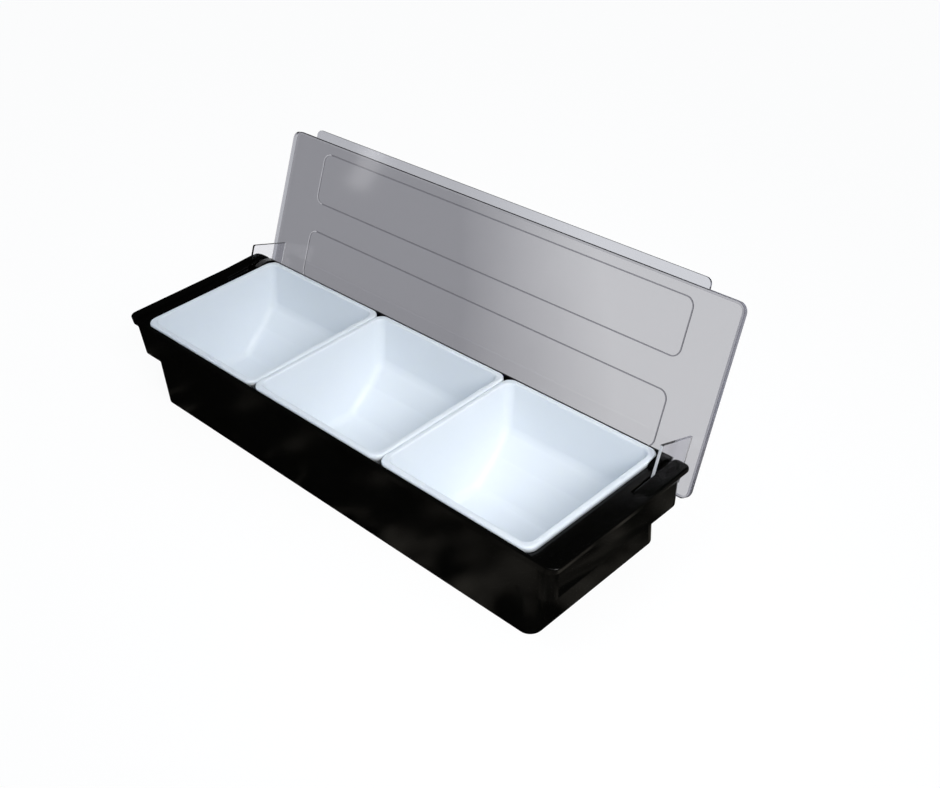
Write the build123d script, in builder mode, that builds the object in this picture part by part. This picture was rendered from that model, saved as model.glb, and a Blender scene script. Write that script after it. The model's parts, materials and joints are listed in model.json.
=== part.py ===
from build123d import *
from math import atan, degrees
import os

# Bar garnish tray: a moulded base, three lift-out inserts in a row and a clear lid on a hinge.
# X runs along the row, +Y is the hinge side at the rear and +Z is up.
# The origin is the centre of the underside. The lid stands open, as the tray is used.

# Insert sizes
insert_pitch = 150.0
insert_gap = 0.6
insert_width = 139.5
insert_wall = 2.0
insert_corner_radius = 9.0
insert_lip_height = 4.3
insert_lip_width = 5.0
insert_lip_rounding = 1.9
insert_mouth_chamfer = 1.0
insert_floor_gap = 3.3
insert_floor_width = 34.0
insert_bend_depth = 41.0
insert_bend_width = 113.0
insert_end_draft = 3.5
insert_bowl_rounding = 7.0
insert_bowl_chamfer = 5.0
insert_count = 3

# Base sizes
deck_height = 77.0
deck_thickness = 3.5
bead_height = 2.5
front_bead_width = 2.3
end_bead_width = 10.6
end_ledge_width = 14.4
insert_side_clearance = 0.45
bead_rounding = 1.0
flange_corner_radius = 4.0
body_length = 446.4
body_corner_radius = 15.0
body_end_draft = 3.55
body_side_draft = 3.0
floor_thickness = 2.5
end_wall = 2.5
side_wall = 2.5
insert_landing = 1.3
wing_height = 32.0
wing_end_draft = 3.0
wing_flange_overhang = 3.5
wing_side_overhang = 0.5
wing_wall = 2.4
wing_corner_radius = 3.0

# Hinge sizes
hinge_from_rear = 10.2
hinge_below_bead = 13.4
hinge_pin_diameter = 5.0
hinge_pin_clearance = 0.05
hinge_pin_reach = 2.5
hinge_pin_end_gap = 0.4
lug_gap = 1.2
lug_half_length = 9.0
lug_drop = 8.5
lug_lid_clearance = 0.7
slot_side_clearance = 0.6
slot_end_clearance = 1.5
slot_drop = 27.0

# Lid sizes
lid_open_angle = 113.5
lid_end_inset = 3.0
lid_width = 149.0
lid_corner_radius = 10.0
lid_thickness = 2.4
lid_edge_depth = 5.0
lid_edge_chamfer = 0.8
lid_gap_over_inserts = 1.5
lid_rear_reach = 14.9
grip_length = 431.0
grip_reach = 8.2
grip_thickness = 2.0
grip_corner_radius = 5.0
rib_height = 0.8
rib_width = 1.6
frame_length = 410.0
frame_width = 46.0
frame_corner_radius = 8.0
front_frame_margin = 10.0
rear_frame_margin = 22.0
ear_from_lid_end = 12.9
ear_thickness = 2.4
ear_depth = 36.5
ear_front_reach = 30.8
ear_front_draft = 2.9
ear_rear_reach = 5.3
ear_tip_radius = 1.5
ear_heel_radius = 6.0
ear_root = 0.6

# Small run past a face, for cuts that go right through
overrun = 5.0

# Places worked out from the sizes
insert_length = insert_pitch - insert_gap
row_half = insert_count * insert_pitch / 2
bead_top = deck_height + bead_height
deck_underside = deck_height - deck_thickness
recess_length = 2 * (row_half + end_ledge_width)
recess_width = insert_width + 2 * insert_side_clearance
flange_length = recess_length + 2 * end_bead_width
flange_width = recess_width + 2 * front_bead_width
wing_top_length = flange_length - 2 * wing_flange_overhang
wing_top_width = flange_width - 2 * wing_side_overhang
body_top_length = body_length + 2 * body_end_draft
body_top_width = wing_top_width
body_width = body_top_width - 2 * body_side_draft
wing_base_height = deck_height - wing_height
wing_base_width = body_width + 2 * body_side_draft * wing_base_height / deck_height
wing_base_length = wing_top_length - 2 * wing_end_draft
insert_rim_height = deck_height + insert_lip_height
insert_floor_height = floor_thickness + insert_floor_gap + insert_wall
insert_bend_height = insert_rim_height - insert_bend_depth
opening_length = 2 * row_half - insert_gap - 2 * insert_landing
opening_width = insert_width - 2 * insert_landing
cavity_floor_length = body_length - 2 * end_wall
cavity_floor_width = body_width - 2 * side_wall

hinge_y = flange_width / 2 - hinge_from_rear
hinge_z = bead_top - hinge_below_bead
lid_length = flange_length - 2 * lid_end_inset
lid_tip = insert_rim_height + lid_gap_over_inserts - hinge_z
lid_outer = lid_tip + lid_edge_depth
lid_inner = lid_outer - lid_thickness
lid_middle = lid_rear_reach - lid_width / 2
ear_inner_x = lid_length / 2 - ear_from_lid_end - ear_thickness / 2
ear_middle_x = ear_inner_x + ear_thickness / 2
lug_radius = lid_tip - lug_lid_clearance
lug_face_x = ear_inner_x - lug_gap
lug_root_x = row_half + insert_gap
pin_tip_x = lug_face_x - hinge_pin_reach
pin_radius = hinge_pin_diameter / 2
ear_swing = (lid_inner**2 + ear_front_reach**2) ** 0.5
slot_front_y = hinge_y - ear_swing - slot_end_clearance
slot_width = ear_thickness + 2 * slot_side_clearance
slot_rear_y = flange_width / 2 + overrun


def drafted_block(low, low_length, low_width, high, high_length, high_width, corner_radius):
    """A block that widens from its bottom to its top on all four sides, its rising edges rounded."""
    height = high - low
    end_draft = degrees(atan((high_length - low_length) / 2 / height))
    side_draft = degrees(atan((high_width - low_width) / 2 / height))
    bottom = Plane.XY.offset(low)
    with BuildPart() as block:
        with BuildSketch(bottom):
            Rectangle(low_length, low_width)
        extrude(amount=height)
        draft(block.faces().filter_by(Axis.X), bottom, -end_draft)
        draft(block.faces().filter_by(Axis.Y), bottom, -side_draft)
        if corner_radius:
            fillet(block.edges().group_by(Axis.Z)[1], corner_radius)
    return block.part


trough = drafted_block(
    0, body_length, body_width, deck_height, body_top_length, body_top_width, body_corner_radius
)
trough_cavity = drafted_block(
    floor_thickness,
    cavity_floor_length,
    cavity_floor_width,
    deck_height,
    opening_length,
    opening_width,
    body_corner_radius - side_wall,
)
wings = drafted_block(
    wing_base_height,
    wing_base_length,
    wing_base_width,
    deck_height,
    wing_top_length,
    wing_top_width,
    wing_corner_radius,
)
wing_hollow = drafted_block(
    wing_base_height,
    wing_base_length - 2 * wing_wall,
    wing_base_width - 2 * wing_wall,
    deck_underside,
    wing_top_length - 2 * wing_wall,
    wing_top_width - 2 * wing_wall,
    0,
)

with BuildPart() as base_tray:
    # End wings hang as skirts from the deck, open underneath, and the trough stands between them
    add(wings)
    add(wing_hollow, mode=Mode.SUBTRACT)
    add(trough)

    # Flange plate round the top, with its bead standing over a sunk deck
    with BuildSketch(Plane.XY.offset(deck_underside)):
        RectangleRounded(flange_length, flange_width, flange_corner_radius)
    extrude(amount=deck_thickness + bead_height)
    with BuildSketch(Plane.XY.offset(deck_height)):
        RectangleRounded(recess_length, recess_width, flange_corner_radius)
    extrude(amount=bead_height, mode=Mode.SUBTRACT)
    bead_crest = base_tray.faces().sort_by(Axis.Z)[-1]
    fillet(bead_crest.outer_wire().edges(), bead_rounding)

    # The trough is open at the top, inside a landing for the inserts' lips
    add(trough_cavity, mode=Mode.SUBTRACT)

    # Rear ends of the end beads, rounded about the hinge axis so that the lid can swing over them
    with BuildSketch(Plane.YZ.offset(recess_length / 2)):
        with Locations((hinge_y + hinge_below_bead / 2, hinge_z + hinge_below_bead / 2)):
            Rectangle(hinge_below_bead, hinge_below_bead)
        with Locations((hinge_y, hinge_z)):
            Circle(hinge_below_bead, mode=Mode.SUBTRACT)
    bead_ends = extrude(amount=end_bead_width + overrun, mode=Mode.SUBTRACT)
    mirror(bead_ends, about=Plane.YZ, mode=Mode.SUBTRACT)

    # Slots for the lid's ears, open to the rear
    with BuildSketch(Plane.XY.offset(bead_top - slot_drop)):
        with Locations((ear_middle_x, (slot_front_y + slot_rear_y + slot_width) / 2)):
            SlotOverall(slot_rear_y + slot_width - slot_front_y, slot_width, rotation=90)
        mirror(about=Plane.YZ)
    extrude(amount=slot_drop + overrun, mode=Mode.SUBTRACT)

    # Hinge lugs beside the slots, round on top and bored for the lid's pins
    with BuildSketch(Plane.YZ.offset(lug_root_x)):
        with Locations((hinge_y, hinge_z)):
            Circle(lug_radius)
        with Locations((hinge_y, hinge_z + (lug_radius - lug_drop) / 2)):
            Rectangle(2 * lug_half_length, lug_radius + lug_drop, mode=Mode.INTERSECT)
    lugs = extrude(amount=lug_face_x - lug_root_x)
    with BuildSketch(Plane.YZ.offset(pin_tip_x - hinge_pin_end_gap)):
        with Locations((hinge_y, hinge_z)):
            Circle(pin_radius + hinge_pin_clearance)
    bores = extrude(amount=lug_gap + hinge_pin_reach + hinge_pin_end_gap, mode=Mode.SUBTRACT)
    mirror(lugs, about=Plane.YZ)
    mirror(bores, about=Plane.YZ, mode=Mode.SUBTRACT)

base_tray.part.label = "base_tray"


mouth_length = insert_length - 2 * insert_lip_width
mouth_width = insert_width - 2 * insert_lip_width

def scoop(wall):
    """The inside of a bowl, or with a wall its outside: steep sides, sloped haunches and a narrow floor."""
    with BuildPart() as body:
        with BuildSketch(Plane.YZ.offset(-mouth_length / 2 - wall)):
            with BuildLine():
                Polyline(
                    (-mouth_width / 2 - wall, insert_rim_height - wall),
                    (-insert_bend_width / 2 - wall, insert_bend_height),
                    (-insert_floor_width / 2 - wall / 2, insert_floor_height - wall),
                    (insert_floor_width / 2 + wall / 2, insert_floor_height - wall),
                    (insert_bend_width / 2 + wall, insert_bend_height),
                    (mouth_width / 2 + wall, insert_rim_height - wall),
                    close=True,
                )
            make_face()
        extrude(amount=mouth_length + 2 * wall)
        draft(body.faces().filter_by(Axis.X), Plane.XY.offset(insert_rim_height - wall), -insert_end_draft)
        below_rim = body.edges() - body.faces().sort_by(Axis.Z)[-1].edges()
        if wall:
            chamfer(below_rim, insert_bowl_chamfer)
        else:
            fillet(below_rim, insert_bowl_rounding)
    return body.part


bowl_inside = scoop(0)
bowl_outside = scoop(insert_wall)


def make_insert(label, middle_x):
    """One white insert: a drafted bowl hung from a rolled lip."""
    with BuildPart() as insert:
        # Rolled lip, hollow underneath, that rests on the deck
        with BuildSketch(Plane((middle_x, 0, deck_height))):
            RectangleRounded(insert_length, insert_width, insert_corner_radius)
        extrude(amount=insert_lip_height)
        fillet(insert.faces().sort_by(Axis.Z)[-1].edges(), insert_lip_rounding)
        with BuildSketch(Plane((middle_x, 0, deck_height))):
            RectangleRounded(
                insert_length - 2 * insert_wall,
                insert_width - 2 * insert_wall,
                insert_corner_radius - insert_wall,
            )
        extrude(amount=insert_lip_height - insert_wall, mode=Mode.SUBTRACT)

        # Bowl, drawn in on all four sides towards its floor
        with Locations((middle_x, 0, 0)):
            add(bowl_outside)
            add(bowl_inside, mode=Mode.SUBTRACT)
        mouth = insert.faces().sort_by(Axis.Z)[-1].inner_wires()[0]
        chamfer(mouth.edges(), insert_mouth_chamfer)

    insert.part.label = label
    return insert


insert_left = make_insert("insert_left", -insert_pitch)
insert_middle = make_insert("insert_middle", 0)
insert_right = make_insert("insert_right", insert_pitch)


# The lid's own plane: its origin is on the hinge axis and its z points out of the closed lid's top
lid_plane = Plane((0, hinge_y, hinge_z)).rotated((-lid_open_angle, 0, 0))
ear_plane = Plane(
    lid_plane.from_local_coords((ear_inner_x, 0, 0)), x_dir=lid_plane.y_dir, z_dir=lid_plane.x_dir
)
pin_plane = Plane(
    lid_plane.from_local_coords((pin_tip_x, 0, 0)), x_dir=lid_plane.y_dir, z_dir=lid_plane.x_dir
)
lid_mirror = Plane.YZ

with BuildPart() as lid:
    # Panel with a shallow edge turned in all round
    with BuildSketch(lid_plane.offset(lid_tip)):
        with Locations((0, lid_middle)):
            RectangleRounded(lid_length, lid_width, lid_corner_radius)
    extrude(amount=lid_edge_depth)
    top_face = lid.faces().sort_by(Axis(lid_plane.origin, lid_plane.z_dir))[-1]
    chamfer(top_face.edges(), lid_edge_chamfer)
    with BuildSketch(lid_plane.offset(lid_tip)):
        with Locations((0, lid_middle)):
            RectangleRounded(
                lid_length - 2 * lid_thickness,
                lid_width - 2 * lid_thickness,
                lid_corner_radius - lid_thickness,
            )
    extrude(amount=lid_edge_depth - lid_thickness, mode=Mode.SUBTRACT)

    # Lifting lip along the front edge
    with BuildSketch(lid_plane.offset(lid_tip)):
        with Locations((0, lid_rear_reach - lid_width)):
            RectangleRounded(grip_length, 2 * grip_reach, grip_corner_radius)
        with Locations((0, lid_rear_reach - lid_width + grip_reach)):
            Rectangle(grip_length, 2 * (grip_reach - lid_thickness), mode=Mode.SUBTRACT)
    extrude(amount=grip_thickness)

    # Two raised rib frames on the outer face
    front_frame_y = lid_rear_reach - lid_width + front_frame_margin + frame_width / 2
    rear_frame_y = lid_rear_reach - rear_frame_margin - frame_width / 2
    with BuildSketch(lid_plane.offset(lid_outer)):
        with Locations((0, front_frame_y), (0, rear_frame_y)):
            RectangleRounded(frame_length, frame_width, frame_corner_radius)
            RectangleRounded(
                frame_length - 2 * rib_width,
                frame_width - 2 * rib_width,
                frame_corner_radius - rib_width,
                mode=Mode.SUBTRACT,
            )
    extrude(amount=rib_height)

    # Ears that carry the lid, each with a pin for the base's lug
    with BuildSketch(ear_plane) as ear_profile:
        with BuildLine():
            Polyline(
                (ear_rear_reach, lid_inner + ear_root),
                (-ear_front_reach, lid_inner + ear_root),
                (ear_front_draft - ear_front_reach, lid_inner - ear_depth),
                (ear_rear_reach, lid_inner - ear_depth),
                close=True,
            )
        make_face()
        tip_corner, heel_corner = ear_profile.vertices().group_by(Axis.Y)[0].sort_by(Axis.X)
        fillet(tip_corner, ear_tip_radius)
        fillet(heel_corner, ear_heel_radius)
    ears = extrude(amount=ear_thickness)
    with BuildSketch(pin_plane):
        Circle(pin_radius)
    pins = extrude(amount=ear_inner_x - pin_tip_x)
    mirror(ears, about=lid_mirror)
    mirror(pins, about=lid_mirror)

lid.part.label = "lid"

os.makedirs("parts", exist_ok=True)
export_step(base_tray.part, "parts/base_tray.step")
export_step(insert_left.part, "parts/insert_left.step")
export_step(insert_middle.part, "parts/insert_middle.step")
export_step(insert_right.part, "parts/insert_right.step")
export_step(lid.part, "parts/lid.step")
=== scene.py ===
"""Bar garnish tray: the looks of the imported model, laid out as a Blender add-on."""

import json
import math

import bmesh
import bpy
from mathutils import Matrix, Vector


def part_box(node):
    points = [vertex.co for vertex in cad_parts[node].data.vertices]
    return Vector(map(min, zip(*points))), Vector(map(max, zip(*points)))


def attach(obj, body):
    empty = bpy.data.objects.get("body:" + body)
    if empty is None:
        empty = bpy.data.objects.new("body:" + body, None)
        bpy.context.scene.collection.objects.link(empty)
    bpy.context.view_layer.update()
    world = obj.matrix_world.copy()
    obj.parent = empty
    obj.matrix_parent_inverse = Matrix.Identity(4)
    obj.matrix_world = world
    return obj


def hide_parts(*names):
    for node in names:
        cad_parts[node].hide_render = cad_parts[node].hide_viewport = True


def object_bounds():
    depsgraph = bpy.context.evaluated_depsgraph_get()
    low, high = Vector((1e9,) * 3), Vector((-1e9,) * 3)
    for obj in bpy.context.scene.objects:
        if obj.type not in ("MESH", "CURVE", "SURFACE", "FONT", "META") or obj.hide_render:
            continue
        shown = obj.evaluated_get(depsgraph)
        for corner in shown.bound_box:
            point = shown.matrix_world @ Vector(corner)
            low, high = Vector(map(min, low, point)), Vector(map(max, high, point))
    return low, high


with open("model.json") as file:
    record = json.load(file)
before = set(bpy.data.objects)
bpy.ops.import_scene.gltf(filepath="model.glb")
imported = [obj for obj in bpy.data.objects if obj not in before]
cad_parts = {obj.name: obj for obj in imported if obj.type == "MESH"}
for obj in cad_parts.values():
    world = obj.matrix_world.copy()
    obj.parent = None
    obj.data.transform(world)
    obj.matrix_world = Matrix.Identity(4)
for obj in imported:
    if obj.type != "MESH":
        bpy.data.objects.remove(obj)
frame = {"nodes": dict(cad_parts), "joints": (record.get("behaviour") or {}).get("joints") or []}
CAD_LOW, CAD_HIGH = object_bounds()

bl_info = {
    "name": "Bar garnish tray",
    "version": (1, 0, 0),
    "blender": (4, 5, 0),
    "location": "View3D > Sidebar > Garnish Tray",
    "description": "Dresses a bar garnish tray with its plastics, its lid's details and a plain studio",
    "category": "Object",
}

MM = 0.001

# The hinge, the inserts' wall and the inserts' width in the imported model
HINGE = next(joint for joint in frame["joints"] if joint["name"] == "lid_hinge")
PIVOT = Vector(HINGE["pos_m"])
INSERT_WALL = 2.0 * MM
INSERT_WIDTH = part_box("insert_middle")[1].y * 2

# How far a bowl's walls are drawn past its mouth, where they are then cut off
MOUTH_OVERSHOOT = 5.0 * MM

# Limits that tell apart the places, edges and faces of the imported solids' meshes
LEVEL = 0.05 * MM
WELD = 0.002 * MM
CUT_SNAP = 0.001 * MM
CORNER_REACH = 1.5 * MM
FLAT_ANGLE = math.radians(0.4)
RIM_ANGLE = math.radians(30)
SHARP_ANGLE = math.radians(32)
STEEP_ANGLE = math.radians(60)
RIM_RISE = 0.4
HALF_TURNED = 0.5

# Segments of the roundings
CORNER_SEGMENTS = 8
HOLLOW_SEGMENTS = 6
LIP_SEGMENTS = 5
BAR_SEGMENTS = 4
BEND_SEGMENTS = 8
CREASE_SEGMENTS = 2
FLOOR_SEGMENTS = 6


# Properties of the kinds that the settings use, with sizes in millimetres and angles in degrees

def length(name, description, size):
    return bpy.props.FloatProperty(
        name=name, description=description, default=size * MM, unit="LENGTH",
    )


def lengths(name, description, *sizes):
    return bpy.props.FloatVectorProperty(
        name=name, description=description, default=tuple(size * MM for size in sizes),
        size=len(sizes), unit="LENGTH",
    )


def point(name, description, *sizes):
    return bpy.props.FloatVectorProperty(
        name=name, description=description, default=tuple(size * MM for size in sizes),
        subtype="TRANSLATION",
    )


def angle(name, description, degrees):
    return bpy.props.FloatProperty(
        name=name, description=description, default=math.radians(degrees), subtype="ANGLE",
    )


def rgb(name, description, *parts):
    return bpy.props.FloatVectorProperty(
        name=name, description=description, default=parts, subtype="COLOR",
    )


def share(name, description, part):
    return bpy.props.FloatProperty(
        name=name, description=description, default=part, min=0.0, max=1.0, subtype="FACTOR",
    )


def number(name, description, value, unit="NONE"):
    return bpy.props.FloatProperty(
        name=name, description=description, default=value, unit=unit,
    )


# Sizes and colours that a user would change

class StageSettings(bpy.types.PropertyGroup):
    """The studio round the tray."""

    camera_azimuth: angle(
        "Camera azimuth", "Angle of the camera round the tray, from straight in front", 47.357,
    )
    camera_elevation: angle("Camera elevation", "Angle of the camera above the counter", 34.733)
    camera_roll: angle("Camera roll", "Tilt of the camera about its own view axis", -4.296)
    camera_distance: length(
        "Camera distance", "Distance from the camera to the point that it looks at", 963.5,
    )
    camera_target: point("Camera target", "Point that the camera looks at", 76.3, 26.26, 88.05)
    camera_lens: number("Lens", "Focal length for a sensor 36 mm wide", 48.604, "CAMERA")
    floor_size: length("Floor size", "Side of the plain floor", 12000.0)
    floor_colour: rgb("Floor colour", "Colour of the floor in light", 0.93, 0.93, 0.93)
    floor_glow: number(
        "Floor glow", "Level that brings the floor to plain white for the camera", 1.03,
    )
    floor_whiteness: share(
        "Floor whiteness",
        "How far the camera sees the floor as plain white rather than as it is lit",
        0.9,
    )
    world_strength: number("World strength", "Level of the even light from all round", 0.48)
    gloss_level: number(
        "Gloss level", "Level of the surroundings that the glossy surfaces reflect", 0.005,
    )
    gloss_patch: number(
        "Gloss patch", "Level of the brightest patches that the glossy surfaces reflect", 0.3,
    )


class BaseSettings(bpy.types.PropertyGroup):
    """The black base."""

    colour: rgb("Base colour", "Colour of the black plastic", 0.0010, 0.0010, 0.0008)
    gloss: share("Base roughness", "Roughness of the moulded gloss", 0.21)
    edge_rounding: length(
        "Edge rounding", "Radius that the mould leaves on the base's sharp edges", 0.35,
    )
    deck: length("Deck height", "Height of the sunk deck that carries the inserts", 77.0)
    flange_thickness: length("Flange thickness", "Thickness of the plate under the deck", 3.5)
    flange_corner_cad: length(
        "Solid flange corner", "Radius of the flange's corners in the packed solid", 4.0,
    )
    flange_corner: length("Flange corner", "Radius that the flange's corners get", 8.0)
    flange_rear_corner: length(
        "Flange rear corner",
        "Radius that the flange's rear corners get under the rounded bars",
        14.0,
    )
    wing_bottom: length("Wing bottom", "Height of the end wings' lower edge", 45.0)
    wing_height: length("Wing height", "Height of the end wings", 32.0)
    wing_wall: length("Wing wall", "Thickness of the end wings' walls", 2.4)
    wing_corner_cad: length(
        "Solid wing corner", "Radius of the wings' corners in the packed solid", 3.0,
    )
    wing_corner: length("Wing corner", "Radius that the wings' corners get", 10.0)
    trough_corner_cad: length(
        "Solid trough corner", "Radius of the trough's corners in the packed solid", 15.0,
    )
    trough_corner_low: length(
        "Trough corner", "Radius that the trough's corners get at the bottom", 10.0,
    )
    trough_corner_gain: length(
        "Trough corner gain", "How much the trough's corner radius grows up to the deck", 10.0,
    )
    bead_inner: length(
        "Bead inner face", "Distance from the middle to the end beads' inner faces", 239.4,
    )
    slot_outer: length(
        "Slot outer face", "Distance from the middle to the ear slots' outer faces", 235.9,
    )
    bead_end_radius: length(
        "Bead end radius", "Radius of the end beads' rear ends about the hinge", 13.4,
    )
    bar_inset: length(
        "Bar inset", "How far the rounded bars at the ends stay inside the flange", 0.02,
    )
    bar_start: length("Bar start", "Where the rounded bars begin beside the ear slots", 24.0)
    bar_height: length(
        "Bar height", "Height of the rounded bars over the sunk deck at the hinge", 4.1,
    )
    bar_rise: length(
        "Bar rise", "How far the rounded bars climb from their front to the hinge", 1.62,
    )
    bar_overhang: length("Bar overhang", "How far the rounded bars reach back past the flange", 1.5)
    bar_corner: length("Bar corner", "Radius of the rounded bars' outer rear corners", 8.0)
    bar_slot_corner: length(
        "Bar slot corner", "Radius of the rounded bars' rear corners at the ear slots", 3.0,
    )
    bar_rounding: length("Bar rounding", "Radius along the rounded bars' upper edges", 1.8)
    bar_end_radius: length(
        "Bar end radius",
        "Distance from the hinge to the rounded bars' ends, short of the lid's swing",
        16.3,
    )
    wing_start: length(
        "Wing start", "Distance from the middle past which the end wings are drawn in", 232.0,
    )
    wing_inset_low: length(
        "Lower wing inset", "How far the end wings are drawn in at their lower edge", 1.0,
    )
    wing_inset_high: length(
        "Upper wing inset", "How far the end wings are drawn in under the flange", 2.0,
    )
    flange_size: lengths("Flange size", "Length and width of the flange", 500.0, 145.0)
    wing_foot: lengths(
        "Wing foot", "Length and width over the end wings at their lower edge", 487.0, 141.506,
    )
    wing_lean: lengths(
        "Wing lean", "How far the end wings' ends and sides lean out over their height", 3.0, 1.247,
    )
    trough_foot: lengths("Trough foot", "Length and width of the trough's bottom", 446.4, 138.0)
    trough_lean: lengths(
        "Trough lean", "How far the trough's ends and sides lean out up to the deck", 3.55, 3.0,
    )


class InsertSettings(bpy.types.PropertyGroup):
    """The white bowls."""

    colour: rgb("Insert colour", "Colour of the white plastic", 0.85, 0.885, 0.92)
    gloss: share("Insert roughness", "Roughness of the white plastic", 0.34)
    lip_width: length("Lip width", "Width of the lip round a bowl's mouth", 5.0)
    lip_height: length("Lip height", "Height of the lip over the deck", 4.3)
    lip_corner: length("Lip corner", "Radius of the lip's corners, seen from above", 9.0)
    lip_rounding: length("Lip rounding", "Radius along the lip's outer edge", 1.9)
    mouth_rounding: length("Mouth rounding", "Radius along the edge of a bowl's mouth", 1.4)
    bend_depth: length("Bend depth", "Depth at which the steep walls turn into the haunches", 39.5)
    bend_width: length("Bend width", "Width of a bowl where its haunches begin", 115.0)
    bend_rounding: length("Bend rounding", "Radius between a steep wall and its haunch", 14.0)
    crease_width: length("Crease width", "Width of a bowl at the crease across each haunch", 83.0)
    crease_height: length("Crease height", "Height of the creases over a bowl's floor", 17.2)
    crease_rounding: length("Crease rounding", "Radius along the creases", 8.5)
    floor_width: length(
        "Floor width",
        "Width of a bowl's floor, measured to the meeting lines of floor and haunches",
        34.0,
    )
    floor_rounding: length("Floor rounding", "Radius between a haunch and the floor", 10.0)
    end_draft: angle("End draft", "Lean of the end walls", 3.5)
    end_rounding: length("End rounding", "Radius between an end wall and the rest of the bowl", 7.0)
    wall: length("Insert wall", "Thickness of the moulded wall", 1.8)


class LidSettings(bpy.types.PropertyGroup):
    """The clear lid."""

    # The lid's colours: tint and shading are the two ends of a painted shade that darkens the lid to
    # the left and towards the hinge
    tint: rgb(
        "Lid tint",
        "Colour of light that has gone through one face of the lid where it is clearest",
        0.56, 0.56, 0.585,
    )
    smoke: rgb(
        "Lid smoke",
        "Colour of light that has gone through one face of the lid where it is smokiest",
        0.28, 0.28, 0.305,
    )
    line_tint: rgb(
        "Line tint",
        "Colour of the moulded lines and the turned edge, where the plastic is deepest",
        0.15, 0.15, 0.19,
    )
    tip_tint: rgb("Tip tint", "Colour of the flat tip of the turned edge", 0.34, 0.34, 0.37)
    # Painted shade: the turned edge's tip is darker along the right end than elsewhere
    side_tip_shade: rgb(
        "Side tip tint",
        "Colour of the turned edge's flat tip along the lid's right end",
        0.20, 0.20, 0.235,
    )
    rib_tint: rgb("Rib tint", "Colour of the slim raised ribs", 0.12, 0.12, 0.14)
    strip_tint: rgb("Strip tint", "Colour of the thin lifting strip", 0.64, 0.65, 0.69)
    # Painted shade: the strip's colour where the painted shade is deepest
    strip_shading: rgb(
        "Strip smoke", "Colour of the thin lifting strip where it is smokiest", 0.465, 0.47, 0.505,
    )
    ear_tint: rgb(
        "Ear tint",
        "Colour of the thin ears, and of the lid's lines that catch the light at its left end",
        0.84, 0.84, 0.87,
    )
    # Painted highlight: the right ear's edge is made milky so that it shows the light
    ear_edge_highlight: share(
        "Ear frost", "How milky the right ear's edge is where it catches the light", 0.7,
    )
    edge_rounding: length(
        "Lid edge rounding", "Radius that the mould leaves on the lid's sharp edges", 0.3,
    )
    edge_depth: length(
        "Lid edge depth", "Depth of the edge that turns in round the lid's panel", 5.0,
    )
    edge_width_cad: length(
        "Solid lid edge width", "Thickness of the turned edge in the packed solid", 2.4,
    )
    edge_width: length(
        "Lid edge width", "Thickness that the edge turned in round the lid's panel gets", 1.7,
    )
    corner_cad: length("Solid lid corner", "Radius of the lid's corners in the packed solid", 10.0)
    corner: length("Lid corner", "Radius that the lid's corners get", 7.5)
    width: length("Lid width", "Width of the lid's panel from its front to its rear edge", 149.0)
    rib_height: length(
        "Rib height", "Height of the ribs that frame the two fields on the lid's outer face", 0.8,
    )
    rib_width: length("Rib width", "Width that the ribs get", 0.9)
    frame_size: lengths(
        "Frame size", "Length and width of each framed field, outside its ribs", 410.0, 46.0,
    )
    frame_corner: length("Frame corner", "Radius of the framed fields' corners", 8.0)
    frame_middles: lengths(
        "Frame middles",
        "Distances of the two framed fields' middle lines from the hinge on the closed lid",
        -101.1, -30.1,
    )


# Shader maths as expressions on sockets

class Value:
    """A socket that carries a number, with arithmetic that adds Math nodes."""

    def __init__(self, shader, socket):
        self.shader = shader
        self.socket = socket

    def maths(self, operation, *values):
        node = self.shader.node("ShaderNodeMath", {"operation": operation}, dict(enumerate(values)))
        return self.shader.value(node)

    def __add__(self, other):
        return self.maths("ADD", self, other)

    __radd__ = __add__

    def __sub__(self, other):
        return self.maths("SUBTRACT", self, other)

    def __rsub__(self, other):
        return self.maths("SUBTRACT", other, self)

    def __mul__(self, other):
        return self.maths("MULTIPLY", self, other)

    __rmul__ = __mul__

    def around(self, middle, width):
        """Spreads a haze of 0 to 1 evenly round a middle value."""
        return self * width + (middle - width / 2)


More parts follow.
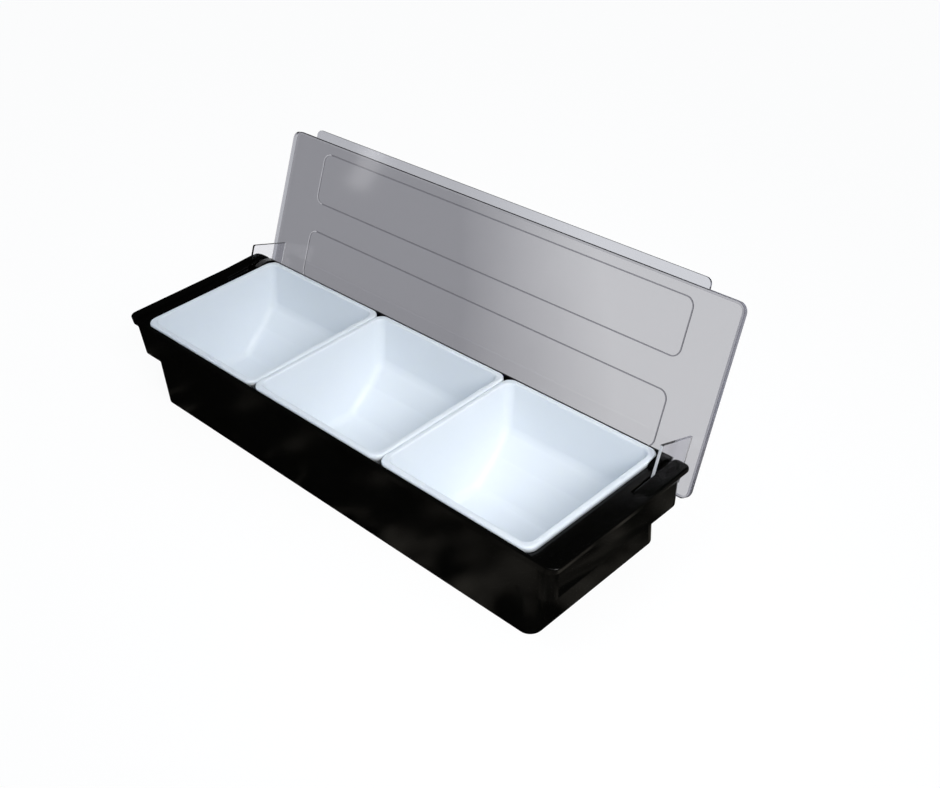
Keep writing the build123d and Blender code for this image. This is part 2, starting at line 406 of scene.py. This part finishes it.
class Shader:
    """The node tree of a material or the world, with one method that adds any node."""

    MIX_FIRST, MIX_SECOND, MIX_COLOUR = 6, 7, 2

    def __init__(self, holder):
        holder.use_nodes = True
        self.holder = holder
        self.tree = holder.node_tree
        self.tree.nodes.clear()

    def node(self, kind, settings=None, sockets=None):
        made = self.tree.nodes.new(kind)
        for key, setting in (settings or {}).items():
            setattr(made, key, setting)
        for key, value in (sockets or {}).items():
            if isinstance(value, Value):
                self.tree.links.new(value.socket, made.inputs[key])
            else:
                made.inputs[key].default_value = value
        return made

    def value(self, node, output=0):
        return Value(self, node.outputs[output])

    def place(self):
        return self.value(self.node("ShaderNodeTexCoord"), "Object")

    def along(self, axis):
        return self.value(self.node("ShaderNodeSeparateXYZ", {}, {"Vector": self.place()}), axis)

    def noise(self, scale, detail, roughness):
        sockets = {
            "Vector": self.place(), "Scale": scale, "Detail": detail, "Roughness": roughness,
        }
        return self.value(self.node("ShaderNodeTexNoise", {}, sockets), "Fac")

    def mixed(self, factor, first, second):
        """The first colour where the factor is 0, and the second where it is 1."""
        sockets = {
            "Factor": factor, self.MIX_FIRST: (*first, 1.0), self.MIX_SECOND: (*second, 1.0),
        }
        node = self.node("ShaderNodeMix", {"data_type": "RGBA"}, sockets)
        return self.value(node, self.MIX_COLOUR)

    def bump(self, height, strength, distance):
        sockets = {"Height": height, "Strength": strength, "Distance": distance}
        return self.value(self.node("ShaderNodeBump", {}, sockets))

    def glow(self, kind, colour, strength):
        return self.value(self.node(kind, {}, {"Color": (*colour, 1.0), "Strength": strength}))

    def rays(self):
        """Two factors: 1 where the camera sees a surface, and 1 where a gloss reflects it."""
        path = self.node("ShaderNodeLightPath")
        through = self.value(path, "Is Transmission Ray")
        seen = self.value(path, "Is Camera Ray") + through
        return seen, self.value(path, "Is Glossy Ray") * (1 - through)

    def blend(self, factor, first, second):
        """The first surface where the factor is 0, and the second where it is 1."""
        sockets = {"Fac": factor, 1: first, 2: second}
        return self.value(self.node("ShaderNodeMixShader", {}, sockets))

    def finish(self, surface):
        """Sends a surface to the output, and gives back the finished material or world."""
        kind = "World" if isinstance(self.holder, bpy.types.World) else "Material"
        self.node(f"ShaderNodeOutput{kind}", {}, {"Surface": surface})
        return self.holder

    def plastic(self, sockets):
        """Finishes the material as a plastic with these sockets."""
        return self.finish(self.value(self.node("ShaderNodeBsdfPrincipled", {}, sockets)))


def black_gloss(settings):
    """Glossy black moulded plastic, with faint flow marks and handling haze."""
    shader = Shader(bpy.data.materials.new("black_gloss"))
    haze = shader.noise(22.0, 4.0, 0.6)
    flow = shader.noise(45.0, 2.0, 0.5)
    colour = tuple(settings.colour)
    hazy = tuple(part * 2.0 + 0.0006 for part in colour)
    return shader.plastic({
        "Base Color": shader.mixed(haze, colour, hazy),
        "Roughness": haze.around(settings.gloss, 0.1),
        "Normal": shader.bump(flow, 0.2, 1.2 * MM),
        "IOR": 1.46,
        "Specular IOR Level": 0.25,
    })


def white_gloss(settings):
    """Glossy white moulded plastic, slightly cool."""
    shader = Shader(bpy.data.materials.new("white_gloss"))
    haze = shader.noise(14.0, 3.0, 0.5)
    colour = tuple(settings.colour)
    cooler = tuple(part * k for part, k in zip(colour, (0.97, 0.98, 0.995)))
    return shader.plastic({
        "Base Color": shader.mixed(haze, colour, cooler),
        "Roughness": haze.around(settings.gloss, 0.08),
        "Normal": shader.bump(haze, 0.05, 0.4 * MM),
        "IOR": 1.5,
        "Specular IOR Level": 0.36,
        "Subsurface Weight": 0.1,
        "Subsurface Radius": (4.0 * MM, 4.0 * MM, 5.0 * MM),
    })


def smoked_clear(name, lightest, shadiest, highlight_share=0.0):
    """Smoked clear plastic, darkened to the left and towards the hinge by painted shade, milky for
    painted highlights.
    """
    shader = Shader(bpy.data.materials.new(name))
    haze = shader.noise(9.0, 3.0, 0.55)
    # Painted shade: from the shadiest colour at the left and near the hinge, to the lightest at the
    # right where more light falls
    clear = shader.along("X") * 6.5 + shader.along("Z") * 2.5 + haze * 0.3 - 0.37
    return shader.plastic({
        "Base Color": shader.mixed(clear, shadiest, lightest),
        "Roughness": haze.around(0.065, 0.05),
        # Painted highlight: where one is wanted, part of the light is scattered instead of let through
        "Transmission Weight": 1.0 - highlight_share,
        "IOR": 1.3,
    })


# Meshes

def finished(bm, name, body, node, materials, modifiers):
    """Makes the piece that stands for a CAD node, and says what it rides on."""
    mesh = bpy.data.meshes.new(name)
    bm.to_mesh(mesh)
    bm.free()
    mesh.shade_smooth()
    mesh.set_sharp_from_angle(angle=SHARP_ANGLE)
    for material in materials:
        mesh.materials.append(material)
    piece = bpy.data.objects.new(name, mesh)
    bpy.context.scene.collection.objects.link(piece)
    for kind, settings in modifiers:
        modifier = piece.modifiers.new(kind.title(), kind)
        for key, setting in settings.items():
            setattr(modifier, key, setting)
    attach(piece, body)
    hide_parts(node)


def merged_copy(node):
    """The CAD node's shape as one joined mesh with whole flat faces."""
    bm = bmesh.new()
    bm.from_mesh(frame["nodes"][node].data)
    bmesh.ops.remove_doubles(bm, verts=bm.verts, dist=WELD)
    bmesh.ops.dissolve_limit(bm, angle_limit=FLAT_ANGLE, verts=bm.verts, edges=bm.edges)
    return bm


def rounded_edges(radius):
    """Modifiers that round a moulding's sharp edges and keep its flat faces flat."""
    bevel = {
        "width": radius,
        "segments": 2,
        "limit_method": "ANGLE",
        "angle_limit": SHARP_ANGLE,
        "use_clamp_overlap": True,
        "miter_outer": "MITER_ARC",
    }
    return [("BEVEL", bevel), ("WEIGHTED_NORMAL", {"keep_sharp": False, "weight": 80})]


def bevelled(bm, geom, radius, segments, affect="EDGES"):
    """Rounds the given edges, or with VERTICES the given corners of a flat outline."""
    bmesh.ops.bevel(
        bm, geom=geom, affect=affect, offset=radius, offset_type="OFFSET", segments=segments,
        profile=0.5, material=-1,
    )


def cut(bm, place, way, **options):
    """Cuts a whole mesh along a plane."""
    whole = bm.verts[:] + bm.edges[:] + bm.faces[:]
    bmesh.ops.bisect_plane(
        bm, geom=whole, plane_co=place, plane_no=way, dist=CUT_SNAP, **options,
    )


def pulled(bm, shift):
    """Pulls a flat outline out into a solid, and gives back the far end's vertices."""
    drawn = bmesh.ops.extrude_face_region(bm, geom=bm.faces[:])
    far = [v for v in drawn["geom"] if isinstance(v, bmesh.types.BMVert)]
    bmesh.ops.translate(bm, vec=shift, verts=far)
    return far


def plan_depth(spot, middle, half, corner):
    """How deep a point lies inside a rounded outline seen from above, and the way out of it."""
    place = Vector((abs(spot.x), abs(spot.y - middle)))
    past = place - half + Vector((corner, corner))
    if min(past) > 0:
        return corner - past.length, past.normalized()
    reach = half - place
    return (reach.x, Vector((1, 0))) if reach.x < reach.y else (reach.y, Vector((0, 1)))


def shifted(spot, middle, shift):
    """The point moved outwards on its own side of the middle lines."""
    x, y = math.copysign(shift.x, spot.x), math.copysign(shift.y, spot.y - middle)
    return spot + Vector((x, y, 0))


def bowl_prism(settings, top, floor, half_length):
    """The inside of a bowl before its ends are rounded: its profile, drawn along the row."""
    half_mouth = INSERT_WIDTH / 2 - settings.lip_width
    half_bend = settings.bend_width / 2
    half_crease = settings.crease_width / 2
    half_floor = settings.floor_width / 2
    bend = top - settings.bend_depth
    crease = floor + settings.crease_height
    lean = (half_mouth - half_bend) / settings.bend_depth
    profile = [
        (half_floor, floor),
        (half_crease, crease),
        (half_bend, bend),
        (half_mouth + lean * MOUTH_OVERSHOOT, top + MOUTH_OVERSHOOT),
    ]
    bm = bmesh.new()
    right = [bm.verts.new((-half_length, y, z)) for y, z in profile]
    left = [bm.verts.new((-half_length, -y, z)) for y, z in profile]
    bm.faces.new(right + left[::-1])
    wall_slope = math.atan2(1, lean)
    upper_slope = math.atan2(bend - crease, half_bend - half_crease)
    lower_slope = math.atan2(crease - floor, half_crease - half_floor)
    bends = (
        (2, settings.bend_rounding, wall_slope - upper_slope, BEND_SEGMENTS),
        (1, settings.crease_rounding, upper_slope - lower_slope, CREASE_SEGMENTS),
        (0, settings.floor_rounding, lower_slope, FLOOR_SEGMENTS),
    )
    for corner, radius, turn, segments in bends:
        arc_start = radius * math.tan(turn / 2)
        bevelled(bm, [right[corner], left[corner]], arc_start, segments, "VERTICES")
    far = pulled(bm, (2 * half_length, 0, 0))
    near = [v for v in bm.verts if v not in set(far)]
    for side, ends in ((1, far), (-1, near)):
        slant = Matrix.Identity(4)
        slant[0][2] = side * math.tan(settings.end_draft)
        slant[0][3] = -slant[0][2] * top
        bmesh.ops.transform(bm, matrix=slant, verts=ends)
    return bm


def bowl_insert(settings, low, high):
    """One insert's upper skin: the bowl, its mouth and its lip. Solidify gives the wall."""
    top = high.z
    middle = (low + high) / 2
    half_length = (high.x - low.x) / 2 - settings.lip_width
    bm = bowl_prism(settings, top, low.z + INSERT_WALL, half_length)
    cut(bm, (0, 0, top), (0, 0, 1), clear_outer=True)
    steep = [
        e for e in bm.edges if len(e.link_faces) == 2 and e.calc_face_angle(0) > STEEP_ANGLE
    ]
    bevelled(bm, steep, settings.end_rounding, CORNER_SEGMENTS)
    mouth = [e for e in bm.edges if e.is_boundary]

    corners = [
        bm.verts.new((x * (high.x - low.x) / 2, y * (high.y - low.y) / 2, top))
        for x, y in ((1, 1), (-1, 1), (-1, -1), (1, -1))
    ]
    bm.faces.new(corners)
    bevelled(bm, corners, settings.lip_corner, CORNER_SEGMENTS, "VERTICES")
    lip_face = [f for f in bm.faces if all(e.is_boundary for e in f.edges)]
    lip = [e for f in lip_face for e in f.edges]
    bmesh.ops.delete(bm, geom=lip_face, context="FACES_ONLY")
    bmesh.ops.bridge_loops(bm, edges=mouth + lip)
    skirt = bmesh.ops.extrude_edge_only(bm, edges=lip)
    hem = [v for v in skirt["geom"] if isinstance(v, bmesh.types.BMVert)]
    bmesh.ops.translate(bm, vec=(0, 0, -settings.lip_height), verts=hem)
    for edges, radius in ((mouth, settings.mouth_rounding), (lip, settings.lip_rounding)):
        bevelled(bm, [e for e in edges if e.is_valid], radius, LIP_SEGMENTS)
    bmesh.ops.recalc_face_normals(bm, faces=bm.faces[:])
    bmesh.ops.translate(bm, vec=(middle.x, middle.y, 0), verts=bm.verts[:])
    return bm


class ClosedLid:
    """Where the lid's parts lie when it is closed, measured from the hinge."""

    def __init__(self, bm, settings):
        swing = math.radians(HINGE["range_deg"][1])
        self.closed = Matrix.Rotation(swing, 4, "X") @ Matrix.Translation(-PIVOT)
        self.opened = self.closed.inverted()
        spots = [self.closed @ vert.co for vert in bm.verts]

        # Heights of the panel's outer face and of the turned edge's tip
        self.outer = max(spot.z for spot in spots) - settings.rib_height
        self.tip = self.outer - settings.edge_depth

        # Half the panel's length and width, its middle line and its front edge
        rear = max(spot.y for spot in spots)
        self.half = Vector((max(abs(spot.x) for spot in spots), settings.width / 2))
        self.middle = rear - self.half.y
        self.front = rear - settings.width

        # Where the turned edge and the ribs' rounded corners begin along the row
        self.end = self.half.x - settings.edge_width
        self.rib_end = settings.frame_size[0] / 2 - settings.frame_corner


# Operators

class GARNISH_OT_base(bpy.types.Operator):
    """Finish the black base"""

    bl_idname = "garnish.base"
    bl_label = "Base"

    def execute(self, context):
        settings = context.scene.tray_base
        bm = merged_copy("base_tray")
        self.trim_bead_ends(bm, settings)
        self.round_hollow_corners(bm, settings)
        for vert in bm.verts:
            self.round_corner(vert, settings)
            self.draw_in_wing(vert, settings)
        for side in (-1, 1):
            self.add_bar_end(bm, settings, side)
        finished(
            bm, "base_moulding", "base", "base_tray",
            [black_gloss(settings)], rounded_edges(settings.edge_rounding),
        )
        return {"FINISHED"}

    def trim_bead_ends(self, bm, settings):
        """Lowers the rear bead's ends beside the ear slots to the round of the end beads."""
        for vert in bm.verts:
            past = vert.co.y - PIVOT.y
            across = settings.slot_outer - LEVEL < abs(vert.co.x) < settings.bead_inner + LEVEL
            if across and past > LEVEL and vert.co.z > settings.deck + LEVEL:
                rise = math.sqrt(max(settings.bead_end_radius ** 2 - past ** 2, 0))
                vert.co.z = min(vert.co.z, PIVOT.z + rise)

    def round_hollow_corners(self, bm, settings):
        """Rounds the four outer corners inside the end wings, to go with the corners outside."""
        half_x, half_y = (size / 2 for size in settings.wing_foot)
        low_x = half_x - 2 * settings.wing_wall
        high_x = half_x + settings.wing_lean[0] - LEVEL
        low_y = half_y - 1.5 * settings.wing_wall

        def inside(vert):
            x, y = abs(vert.co.x), abs(vert.co.y)
            return low_x < x < high_x and y > low_y and len(vert.link_edges) == 3

        upright = [
            e for e in bm.edges
            if abs(e.verts[0].co.z - e.verts[1].co.z) > settings.wing_height / 2
            and all(inside(v) for v in e.verts) and e.calc_face_angle(0) > STEEP_ANGLE
        ]
        bevelled(bm, upright, settings.wing_corner - settings.wing_wall, HOLLOW_SEGMENTS)

    def draw_in_wing(self, vert, settings):
        """Sets the end walls of the wings a little further under the flange."""
        over = vert.co.z - settings.wing_bottom
        reach = settings.wing_height - settings.flange_thickness
        if abs(vert.co.x) > settings.wing_start and -LEVEL < over < reach + LEVEL:
            gain = settings.wing_inset_high - settings.wing_inset_low
            inset = settings.wing_inset_low + gain * (over / settings.wing_height)
            vert.co.x -= math.copysign(inset, vert.co.x)

    def add_bar_end(self, bm, settings, side):
        """Adds the rounded bar that closes an end bead beside its ear slot."""
        bar = self.bar_end(settings)
        if side < 0:
            bmesh.ops.scale(bar, vec=(-1, 1, 1), verts=bar.verts[:])
            bmesh.ops.reverse_faces(bar, faces=bar.faces[:])
        shape = bpy.data.meshes.new("bar_end")
        bar.to_mesh(shape)
        bar.free()
        bm.from_mesh(shape)
        bpy.data.meshes.remove(shape)

    def bar_end(self, settings):
        """The right-hand bar, drawn up from the ear slot's plan and rounded about the hinge."""
        bottom, top = settings.deck, settings.deck + LEVEL
        low_x, high_x = settings.slot_outer, settings.flange_size[0] / 2 - settings.bar_inset
        low_y, high_y = settings.bar_start, settings.flange_size[1] / 2 + settings.bar_overhang
        bar = bmesh.new()
        plan = [
            bar.verts.new((x, y, bottom))
            for x, y in ((low_x, low_y), (high_x, low_y), (high_x, high_y), (low_x, high_y))
        ]
        bar.faces.new(plan)
        bevelled(bar, [plan[2]], settings.bar_corner, CORNER_SEGMENTS, "VERTICES")
        bevelled(bar, [plan[3]], settings.bar_slot_corner, CORNER_SEGMENTS, "VERTICES")
        pulled(bar, (0, 0, settings.bar_height))
        for step in range(CORNER_SEGMENTS):
            past = (high_y - PIVOT.y) * step / CORNER_SEGMENTS
            cut(bar, (0, PIVOT.y + past, 0), (0, 1, 0))
        for vert in bar.verts:
            if vert.co.z > top:
                past = vert.co.y - PIVOT.y
                climb = min((vert.co.y - low_y) / (PIVOT.y - low_y), 1.0)
                vert.co.z += climb * settings.bar_rise - settings.bar_rise
                if past > 0:
                    rise = math.sqrt(settings.bar_end_radius ** 2 - past ** 2)
                    vert.co.z = min(vert.co.z, PIVOT.z + rise)
        bmesh.ops.recalc_face_normals(bar, faces=bar.faces[:])
        rim = [
            e for e in bar.edges
            if min(v.co.z for v in e.verts) > top and e.calc_face_angle(0) > RIM_ANGLE
            and abs(e.link_faces[0].normal.z - e.link_faces[1].normal.z) > RIM_RISE
        ]
        bevelled(bar, rim, settings.bar_rounding, BAR_SEGMENTS)
        return bar

    def round_corner(self, vert, settings):
        """Draws a vertex of an upright corner from the solid's radius to the moulding's."""
        z = vert.co.z
        flange_bottom = settings.deck - settings.flange_thickness
        trough_up = z / settings.deck
        wing_up = (z - settings.wing_bottom) / settings.wing_height
        trough = [
            foot / 2 + lean * trough_up
            for foot, lean in zip(settings.trough_foot, settings.trough_lean)
        ]
        wing = [
            foot / 2 + lean * wing_up for foot, lean in zip(settings.wing_foot, settings.wing_lean)
        ]
        flange = [size / 2 for size in settings.flange_size]
        trough_corner = settings.trough_corner_low + settings.trough_corner_gain * trough_up
        flange_corner = settings.flange_rear_corner if vert.co.y > 0 else settings.flange_corner
        on_flange = z > flange_bottom - LEVEL
        on_wing = settings.wing_bottom - LEVEL < z < flange_bottom + LEVEL
        on_trough = z < flange_bottom + LEVEL
        corners = (
            (flange, on_flange, settings.flange_corner_cad, flange_corner),
            (wing, on_wing, settings.wing_corner_cad, settings.wing_corner),
            (trough, on_trough, settings.trough_corner_cad, trough_corner),
        )
        for (half_x, half_y), at_height, old, new in corners:
            way = Vector((abs(vert.co.x) - half_x + old, abs(vert.co.y) - half_y + old))
            near = old - CORNER_REACH < way.length < old + 2 * LEVEL
            if at_height and min(way) > -LEVEL and near:
                reach = way.normalized() * (new - old + way.length)
                vert.co.x = math.copysign(half_x - new + reach.x, vert.co.x)
                vert.co.y = math.copysign(half_y - new + reach.y, vert.co.y)
                return


class GARNISH_OT_inserts(bpy.types.Operator):
    """Mould the three white bowls"""

    bl_idname = "garnish.inserts"
    bl_label = "Inserts"

    def execute(self, context):
        settings = context.scene.tray_inserts
        white = white_gloss(settings)
        wall = {"thickness": settings.wall, "offset": -1.0, "use_even_offset": True}
        modifiers = [("SOLIDIFY", wall), ("WEIGHTED_NORMAL", {"weight": 80})]
        for side in ("left", "middle", "right"):
            low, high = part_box(f"insert_{side}")
            finished(
                bowl_insert(settings, low, high), f"bowl_{side}", f"{side}_insert",
                f"insert_{side}", [white], modifiers,
            )
        return {"FINISHED"}


class GARNISH_OT_lid(bpy.types.Operator):
    """Mould the clear lid"""

    bl_idname = "garnish.lid"
    bl_label = "Lid"

    def execute(self, context):
        settings = context.scene.tray_lid
        bm = merged_copy("lid")
        lid = ClosedLid(bm, settings)
        self.slim_ribs(bm, settings, lid)
        self.slim_edge(bm, settings, lid)
        self.part_faces(bm, lid)
        # Each finish's colours at the two ends of the painted shade, and for the ear's edge its share
        # of painted highlight
        finishes = {
            "lid_panel": (settings.tint, settings.smoke),
            "lid_line": (settings.line_tint, settings.line_tint),
            "lid_strip_and_highlight": (settings.strip_tint, settings.strip_shading),
            "lid_ear_and_highlight": (settings.ear_tint, settings.ear_tint),
            "lid_rib": (settings.rib_tint, settings.rib_tint),
            "lid_tip": (settings.tip_tint, settings.tip_tint),
            "lid_side_tip_shade": (settings.side_tip_shade, settings.side_tip_shade),
            "lid_ear_edge_highlight": (settings.ear_tint, settings.ear_tint, settings.ear_edge_highlight),
        }
        names = list(finishes)
        for face in bm.faces:
            face.material_index = names.index(self.finish_of(face, lid))
        finished(
            bm, "lid_moulding", "lid", "lid",
            [smoked_clear(name, *looks) for name, looks in finishes.items()],
            rounded_edges(settings.edge_rounding),
        )
        return {"FINISHED"}

    def part_faces(self, bm, lid):
        """Cuts the faces that change their finish half way: along the strip's edge, and where the
        painted highlights and painted shade at the lid's ends begin.
        """
        cuts = [((0, lid.front, 0), (0, 1, 0))]
        cuts += [((x, 0, 0), (1, 0, 0)) for x in (lid.end, -lid.end, -lid.rib_end)]
        for place, way in cuts:
            cut(bm, lid.opened @ Vector(place), lid.opened.to_3x3() @ Vector(way))

    def finish_of(self, face, lid):
        """The name of a face's finish, by where it lies on the closed lid, with painted highlights at
        the left end and on the right ear's edge, and painted shade on the right end's tip.
        """
        spot = lid.closed @ face.calc_center_median()
        turn = lid.closed.to_3x3() @ face.normal
        upright = abs(turn.z) < HALF_TURNED
        if spot.y < lid.front - LEVEL:
            return "lid_line" if upright else "lid_strip_and_highlight"
        if spot.z > lid.outer + LEVEL:
            # Painted highlight: the ribs at the left end get the ears' light finish
            return "lid_ear_and_highlight" if spot.x < -lid.rib_end else "lid_rib"
        if spot.z < lid.tip - LEVEL:
            if abs(turn.y) > HALF_TURNED:
                return "lid_line"
            # Painted highlight: the right ear's flat edge faces get the milky finish
            return "lid_ear_edge_highlight" if spot.x > 0 and not upright else "lid_ear_and_highlight"
        if upright:
            outward = spot.x * turn.x + (spot.y - lid.middle) * turn.y > 0
            # Painted highlight: the outer sides at the left end get the strip's light finish
            return "lid_line" if outward and spot.x > -lid.end else "lid_strip_and_highlight"
        if spot.z < lid.tip + LEVEL:
            if abs(spot.x) < lid.end:
                return "lid_tip"
            # Painted shade on the tip along the right end, and a painted highlight in the ears' light
            # finish on the tip at the left end
            return "lid_side_tip_shade" if spot.x > 0 else "lid_ear_and_highlight"
        return "lid_panel"

    def slim_ribs(self, bm, settings, lid):
        """Draws the inner sides of the raised ribs out towards their outer sides."""
        half = Vector(settings.frame_size) / 2
        for vert in bm.verts:
            spot = lid.closed @ vert.co
            if spot.z > lid.outer - LEVEL:
                middle = min(settings.frame_middles, key=lambda y: abs(spot.y - y))
                depth, way = plan_depth(spot, middle, half, settings.frame_corner)
                if depth > settings.rib_width:
                    shift = (depth - settings.rib_width) * way
                    vert.co = lid.opened @ shifted(spot, middle, shift)

    def slim_edge(self, bm, settings, lid):
        """Tightens the panel's corners, and draws the turned edge's inner side out."""
        slack = settings.edge_width_cad - settings.edge_width
        loose = settings.corner_cad - settings.corner
        corner = Vector((settings.corner_cad, settings.corner_cad))
        for vert in bm.verts:
            spot = lid.closed @ vert.co
            depth, way = plan_depth(spot, lid.middle, lid.half, settings.corner_cad)
            inner = abs(depth - settings.edge_width_cad) < LEVEL and spot.z < lid.outer - LEVEL
            if inner or -LEVEL < depth < settings.edge_width_cad - LEVEL:
                shift = way * slack if inner else Vector((0, 0))
                past = Vector((abs(spot.x), abs(spot.y - lid.middle))) - lid.half + corner
                if min(past) > -LEVEL:
                    shift += Vector((loose, loose)) - past.normalized() * loose
                vert.co = lid.opened @ shifted(spot, lid.middle, shift)


class GARNISH_OT_stage(bpy.types.Operator):
    """Set the floor, the lights and the camera"""

    bl_idname = "garnish.stage"
    bl_label = "Stage"

    WHITE = (1.0, 1.0, 1.0)
    WARM = (1.0, 0.93, 0.8)
    COOL = (0.80, 0.90, 1.0)
    FLOOR_GAP = 0.2 * MM
    SENSOR_WIDTH = 36.0
    VIEW_REACH = 50.0

    # Each lamp's place, target and size in metres, its watts and its spread in degrees
    LAMPS = {
        "key_lamp": ((0.97, -0.33, 0.78), (0.12, 0, 0.05), (0.5, 0.5), 0.78, 46),
        "front_lamp": ((-1.60, -1.27, 0.46), (0, 0, 0.05), (0.05, 0.14), 0.08, 180),
        "top_lamp": ((0.1, -0.1, 1.5), (0, 0, 0.05), (0.6, 0.6), 2.5, 180),
    }

    def execute(self, context):
        settings = context.scene.tray_stage
        self.lay_floor(context, settings)
        self.light_world(context, settings)
        self.hang_lamps(context)
        self.aim_camera(context, settings)
        return {"FINISHED"}

    def lay_floor(self, context, settings):
        """Lays a floor that is nearly plain white to the camera, and dim and patchy to a gloss."""
        mesh = bpy.data.meshes.new("floor")
        bm = bmesh.new()
        bmesh.ops.create_grid(bm, x_segments=1, y_segments=1, size=settings.floor_size / 2)
        bm.to_mesh(mesh)
        bm.free()
        floor = bpy.data.objects.new("floor", mesh)
        context.scene.collection.objects.link(floor)
        floor.location.z = CAD_LOW.z - self.FLOOR_GAP
        shader = Shader(bpy.data.materials.new("pale_floor"))
        seen, reflected = shader.rays()
        colour = (*settings.floor_colour, 1.0)
        lit = shader.value(shader.node("ShaderNodeBsdfDiffuse", {}, {"Color": colour}))
        white = shader.glow("ShaderNodeEmission", self.WHITE, settings.floor_glow)
        patch = shader.value(shader.node("ShaderNodeMapRange", {}, {
            "Value": shader.noise(16.0, 2.0, 0.6) + shader.along("X") * 0.3,
            "From Min": 0.5, "From Max": 0.8,
            "To Min": settings.gloss_level, "To Max": settings.gloss_patch,
        }))
        dim = shader.glow("ShaderNodeEmission", self.WARM, patch)
        shown = shader.blend(seen * settings.floor_whiteness, lit, white)
        mesh.materials.append(shader.finish(shader.blend(reflected, shown, dim)))

    def light_world(self, context, settings):
        """Lights evenly from all round, and shows white to the camera and dark to the gloss."""
        world = bpy.data.worlds.new("studio")
        context.scene.world = world
        sky = Shader(world)
        seen, reflected = sky.rays()
        even, white, dim = (
            sky.glow("ShaderNodeBackground", colour, strength)
            for colour, strength in (
                (self.COOL, settings.world_strength),
                (self.WHITE, 1.0),
                (self.WHITE, settings.gloss_level),
            )
        )
        sky.finish(sky.blend(reflected, sky.blend(seen, even, white), dim))

    def hang_lamps(self, context):
        for name, (place, target, size, watts, spread) in self.LAMPS.items():
            light = bpy.data.lights.new(name, "AREA")
            light.shape = "RECTANGLE"
            light.size, light.size_y = size
            light.energy = watts
            light.spread = math.radians(spread)
            lamp = bpy.data.objects.new(name, light)
            context.scene.collection.objects.link(lamp)
            lamp.location = place
            aim = Vector(place) - Vector(target)
            lamp.rotation_euler = aim.to_track_quat("Z", "Y").to_euler()

    def aim_camera(self, context, settings):
        azimuth, elevation = settings.camera_azimuth, settings.camera_elevation
        right = Vector((math.cos(azimuth), math.sin(azimuth), 0.0))
        back = Vector((
            math.sin(azimuth) * math.cos(elevation),
            -math.cos(azimuth) * math.cos(elevation),
            math.sin(elevation),
        ))
        up = back.cross(right)
        cos_roll, sin_roll = math.cos(settings.camera_roll), math.sin(settings.camera_roll)
        axes = Matrix((right * cos_roll + up * sin_roll, up * cos_roll - right * sin_roll, back))
        place = Vector(settings.camera_target) + back * settings.camera_distance
        camera = bpy.data.cameras.new("photo_camera")
        camera.sensor_width = self.SENSOR_WIDTH
        camera.lens = settings.camera_lens
        camera.clip_end = self.VIEW_REACH
        holder = bpy.data.objects.new("photo_camera", camera)
        context.scene.collection.objects.link(holder)
        holder.matrix_world = Matrix.Translation(place) @ axes.transposed().to_4x4()
        context.scene.camera = holder


class GARNISH_PT_panel(bpy.types.Panel):
    """Lists the tray's steps"""

    bl_idname = "GARNISH_PT_panel"
    bl_label = "Garnish Tray"
    bl_space_type = "VIEW_3D"
    bl_region_type = "UI"
    bl_category = "Garnish Tray"

    def draw(self, context):
        for step in STEPS:
            self.layout.operator(step.bl_idname)


SETTINGS = {
    "tray_stage": StageSettings,
    "tray_base": BaseSettings,
    "tray_inserts": InsertSettings,
    "tray_lid": LidSettings,
}
STEPS = (GARNISH_OT_base, GARNISH_OT_inserts, GARNISH_OT_lid, GARNISH_OT_stage)


def register():
    for name, settings in SETTINGS.items():
        bpy.utils.register_class(settings)
        setattr(bpy.types.Scene, name, bpy.props.PointerProperty(type=settings))
    for step in STEPS:
        bpy.utils.register_class(step)
    bpy.utils.register_class(GARNISH_PT_panel)


def unregister():
    bpy.utils.unregister_class(GARNISH_PT_panel)
    for step in reversed(STEPS):
        bpy.utils.unregister_class(step)
    for name, settings in reversed(SETTINGS.items()):
        delattr(bpy.types.Scene, name)
        bpy.utils.unregister_class(settings)


def main():
    register()
    bpy.context.scene.view_settings.view_transform = "Standard"
    bpy.ops.garnish.base()
    bpy.ops.garnish.inserts()
    bpy.ops.garnish.lid()
    bpy.ops.garnish.stage()


if __name__ == "__main__":
    main()
